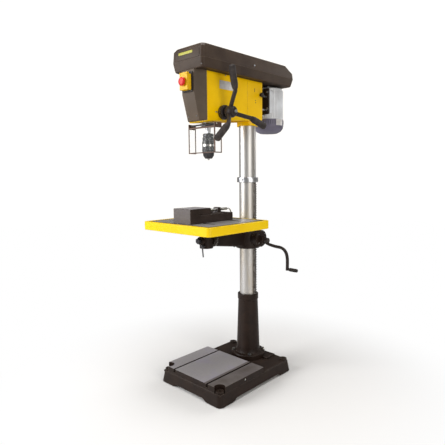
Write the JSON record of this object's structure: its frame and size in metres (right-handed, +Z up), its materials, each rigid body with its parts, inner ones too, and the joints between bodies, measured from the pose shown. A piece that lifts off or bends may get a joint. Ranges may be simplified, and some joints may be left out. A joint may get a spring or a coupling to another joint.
{
  "type": "drill press",
  "caption": "Floor-standing drill press with a belt-driven head, three-arm feed handle, keyed chuck with a flip-up guard, crank-lifted tilting table and a vise.",
  "frame": {"origin": "middle of the machine's footprint on the floor", "axes": "+Z up the column, -Y towards the operator, +X to the operator's right hand, the side with the feed handle and the crank"},
  "size_m": [0.567, 0.821, 1.691],
  "materials": {
    "dark_casting": "semi-gloss over a cast surface",
    "yellow_paint": "gloss",
    "ground_steel": "ground and polished",
    "machined_iron": "machined",
    "black_plastic": "satin",
    "grey_plastic": "textured",
    "black_rubber": "matt",
    "black_oxide": "dark oxide",
    "motor_alloy": "cast",
    "bolt_steel": "bright zinc",
    "clear_plastic": "clear",
    "red_plastic": "gloss",
    "green_plastic": "gloss",
    "belt_rubber": "matt"
  },
  "bodies": {
    "stand": {"base_casting": "dark_casting", "column_pedestal": "dark_casting", "pedestal_bolt_1": "bolt_steel", "pedestal_bolt_2": "bolt_steel", "pedestal_bolt_3": "bolt_steel", "pedestal_bolt_4": "bolt_steel", "column_tube": "ground_steel", "rack_collar": "ground_steel", "head_casting": "yellow_paint", "front_panel": "grey_plastic", "switch_base": "yellow_paint", "pulley_pan": "black_plastic", "spring_cap": "black_plastic", "front_belt": "belt_rubber", "rear_belt": "belt_rubber"},
    "lid": {"pulley_lid": "black_plastic"},
    "flap": {"switch_flap": "yellow_paint"},
    "stop_button": {"stop_mushroom": "red_plastic"},
    "start_button": {"start_button": "green_plastic"},
    "feed_handle": {"feed_shaft": "bolt_steel", "feed_dial": "black_plastic", "feed_hub": "dark_casting", "feed_arm_1": "dark_casting", "feed_arm_2": "dark_casting", "feed_arm_3": "dark_casting", "feed_grip_1": "black_rubber", "feed_grip_2": "black_rubber", "feed_grip_3": "black_rubber"},
    "quill": {"quill": "ground_steel", "guard_clamp": "black_oxide"},
    "spindle": {"spindle": "ground_steel", "chuck_body": "black_oxide"},
    "chuck_sleeve": {"chuck_sleeve": "black_oxide"},
    "jaw_1": {"chuck_jaw_1": "ground_steel"},
    "jaw_2": {"chuck_jaw_2": "ground_steel"},
    "jaw_3": {"chuck_jaw_3": "ground_steel"},
    "guard": {"guard_frame": "black_oxide", "guard_shield": "clear_plastic"},
    "spindle_pulley": {"spindle_pulley": "motor_alloy"},
    "idler_arm": {"idler_arm": "dark_casting"},
    "idler_pulley": {"idler_pulley": "motor_alloy"},
    "motor": {"motor_mount": "dark_casting", "motor_body": "motor_alloy", "motor_fan_cover": "black_plastic"},
    "motor_pulley": {"motor_pulley": "motor_alloy"},
    "knob": {"tension_knob": "black_plastic"},
    "rack": {"lift_rack": "machined_iron"},
    "bracket": {"table_bracket": "dark_casting", "tilt_bolt": "black_oxide"},
    "pinion": {"lift_pinion": "machined_iron"},
    "crank": {"lift_worm": "machined_iron", "crank_arm": "dark_casting"},
    "crank_grip": {"crank_grip": "black_plastic"},
    "column_lock": {"column_lock_lever": "black_oxide"},
    "tilt_bracket": {"tilt_bracket": "dark_casting"},
    "table_lock": {"table_lock_lever": "black_oxide"},
    "table": {"table_casting": "yellow_paint", "vise_base": "dark_casting"},
    "vise_jaw": {"vise_jaw": "dark_casting"},
    "vise_screw": {"vise_screw": "bolt_steel"}
  },
  "joints": [
    {"name": "lid_hinge", "type": "hinge", "parent": "stand", "child": "lid", "pos_m": [-0.1625, 0.1275, 1.626], "axis": [0, -1, 0], "range_deg": [0, 95]},
    {"name": "flap_hinge", "type": "hinge", "parent": "stand", "child": "flap", "pos_m": [-0.047, -0.3285, 1.565], "axis": [-1, 0, 0], "range_deg": [0, 100]},
    {"name": "stop_press", "type": "slide", "parent": "flap", "child": "stop_button", "axis": [0, 1, 0], "range_m": [0, 0.005], "stiffness_N_per_m": 400, "springref_m": -0.005},
    {"name": "start_press", "type": "slide", "parent": "stand", "child": "start_button", "axis": [0, 1, 0], "range_m": [0, 0.003], "stiffness_N_per_m": 300, "springref_m": -0.003},
    {"name": "quill_slide", "type": "slide", "parent": "stand", "child": "quill", "axis": [0, 0, -1], "range_m": [0, 0.12], "stiffness_N_per_m": 200, "springref_m": -0.6},
    {"name": "feed_turn", "type": "hinge", "parent": "stand", "child": "feed_handle", "pos_m": [-0.047, -0.1355, 1.396], "axis": [1, 0, 0], "range_deg": [0, 573.1]},
    {"name": "spindle_spin", "type": "hinge", "parent": "quill", "child": "spindle", "pos_m": [-0.047, -0.1725, 1.297], "axis": [0, 0, 1], "continuous": true},
    {"name": "chuck_twist", "type": "hinge", "parent": "spindle", "child": "chuck_sleeve", "pos_m": [-0.047, -0.1725, 1.204], "axis": [0, 0, 1], "range_deg": [0, 720]},
    {"name": "jaw_slide_1", "type": "slide", "parent": "spindle", "child": "jaw_1", "axis": [0, 0.2588, 0.9659], "range_m": [0, 0.0221]},
    {"name": "jaw_slide_2", "type": "slide", "parent": "spindle", "child": "jaw_2", "axis": [-0.2241, -0.1294, 0.9659], "range_m": [0, 0.0221]},
    {"name": "jaw_slide_3", "type": "slide", "parent": "spindle", "child": "jaw_3", "axis": [0.2241, -0.1294, 0.9659], "range_m": [0, 0.0221]},
    {"name": "guard_flip", "type": "hinge", "parent": "quill", "child": "guard", "pos_m": [-0.047, -0.2095, 1.338], "axis": [-1, 0, 0], "range_deg": [0, 80]},
    {"name": "spindle_pulley_spin", "type": "hinge", "parent": "stand", "child": "spindle_pulley", "pos_m": [-0.047, -0.1725, 1.6], "axis": [0, 0, 1], "continuous": true},
    {"name": "idler_swing", "type": "hinge", "parent": "stand", "child": "idler_arm", "pos_m": [-0.047, -0.0025, 1.6], "axis": [0, 0, 1], "range_deg": [-4, 4], "deforming": ["front_belt", "rear_belt"]},
    {"name": "idler_spin", "type": "hinge", "parent": "idler_arm", "child": "idler_pulley", "pos_m": [-0.047, 0.0525, 1.6], "axis": [0, 0, 1], "continuous": true},
    {"name": "motor_slide", "type": "slide", "parent": "stand", "child": "motor", "axis": [0, 1, 0], "range_m": [-0.01, 0], "deforming": ["rear_belt"]},
    {"name": "motor_spin", "type": "hinge", "parent": "motor", "child": "motor_pulley", "pos_m": [-0.047, 0.3155, 1.6], "axis": [0, 0, 1], "continuous": true},
    {"name": "knob_turn", "type": "hinge", "parent": "stand", "child": "knob", "pos_m": [0.018, 0.1555, 1.515], "axis": [1, 0, 0], "continuous": true},
    {"name": "table_swing", "type": "hinge", "parent": "stand", "child": "rack", "pos_m": [-0.047, 0.1275, 0.43], "axis": [0, 0, 1], "range_deg": [-180, 180]},
    {"name": "table_lift", "type": "slide", "parent": "rack", "child": "bracket", "axis": [0, 0, -1], "range_m": [-0.2, 0.25]},
    {"name": "pinion_turn", "type": "hinge", "parent": "bracket", "child": "pinion", "pos_m": [0.0262, 0.1275, 0.7701], "axis": [0, 1, 0], "range_deg": [-637.6, 796.8]},
    {"name": "crank_turn", "type": "hinge", "parent": "bracket", "child": "crank", "pos_m": [0.073, 0.1275, 0.74], "axis": [1, 0, 0], "range_deg": [-2547.5, 3184.1]},
    {"name": "crank_grip_spin", "type": "hinge", "parent": "crank", "child": "crank_grip", "pos_m": [0.221, 0.1275, 0.602], "axis": [1, 0, 0], "continuous": true},
    {"name": "column_lock_turn", "type": "hinge", "parent": "bracket", "child": "column_lock", "pos_m": [-0.127, 0.1475, 0.735], "axis": [0, 1, 0], "range_deg": [-30, 30]},
    {"name": "table_tilt", "type": "hinge", "parent": "bracket", "child": "tilt_bracket", "pos_m": [-0.047, -0.1625, 0.768], "axis": [0, 1, 0], "range_deg": [-45, 45]},
    {"name": "table_lock_turn", "type": "hinge", "parent": "tilt_bracket", "child": "table_lock", "pos_m": [-0.031, -0.2305, 0.741], "axis": [0, 1, 0], "range_deg": [-30, 30]},
    {"name": "table_turn", "type": "hinge", "parent": "tilt_bracket", "child": "table", "pos_m": [-0.047, -0.1965, 0.824], "axis": [0, 0, 1], "range_deg": [-15, 15]},
    {"name": "vise_jaw_slide", "type": "slide", "parent": "table", "child": "vise_jaw", "axis": [0, 1, 0], "range_m": [0, 0.08]},
    {"name": "vise_screw_turn", "type": "hinge", "parent": "vise_jaw", "child": "vise_screw", "pos_m": [-0.0315, -0.0625, 0.9193], "axis": [0, 1, 0], "range_deg": [-1, 7201]}
  ],
  "couplings": [
    {"joint": "feed_turn", "follows": "quill_slide", "rad_per_m": 83.333},
    {"joint": "spindle_spin", "follows": "spindle_pulley_spin", "ratio": 1},
    {"joint": "idler_spin", "follows": "spindle_pulley_spin", "ratio": 1.44},
    {"joint": "motor_spin", "follows": "spindle_pulley_spin", "ratio": 1.6},
    {"joint": "pinion_turn", "follows": "table_lift", "rad_per_m": 55.556},
    {"joint": "crank_turn", "follows": "table_lift", "rad_per_m": 222.22},
    {"joint": "vise_screw_turn", "follows": "vise_jaw_slide", "rad_per_m": 1570.8},
    {"joint": "jaw_slide_1", "follows": "chuck_twist", "m_per_rad": 0.0017507},
    {"joint": "jaw_slide_2", "follows": "chuck_twist", "m_per_rad": 0.0017507},
    {"joint": "jaw_slide_3", "follows": "chuck_twist", "m_per_rad": 0.0017507}
  ]
}
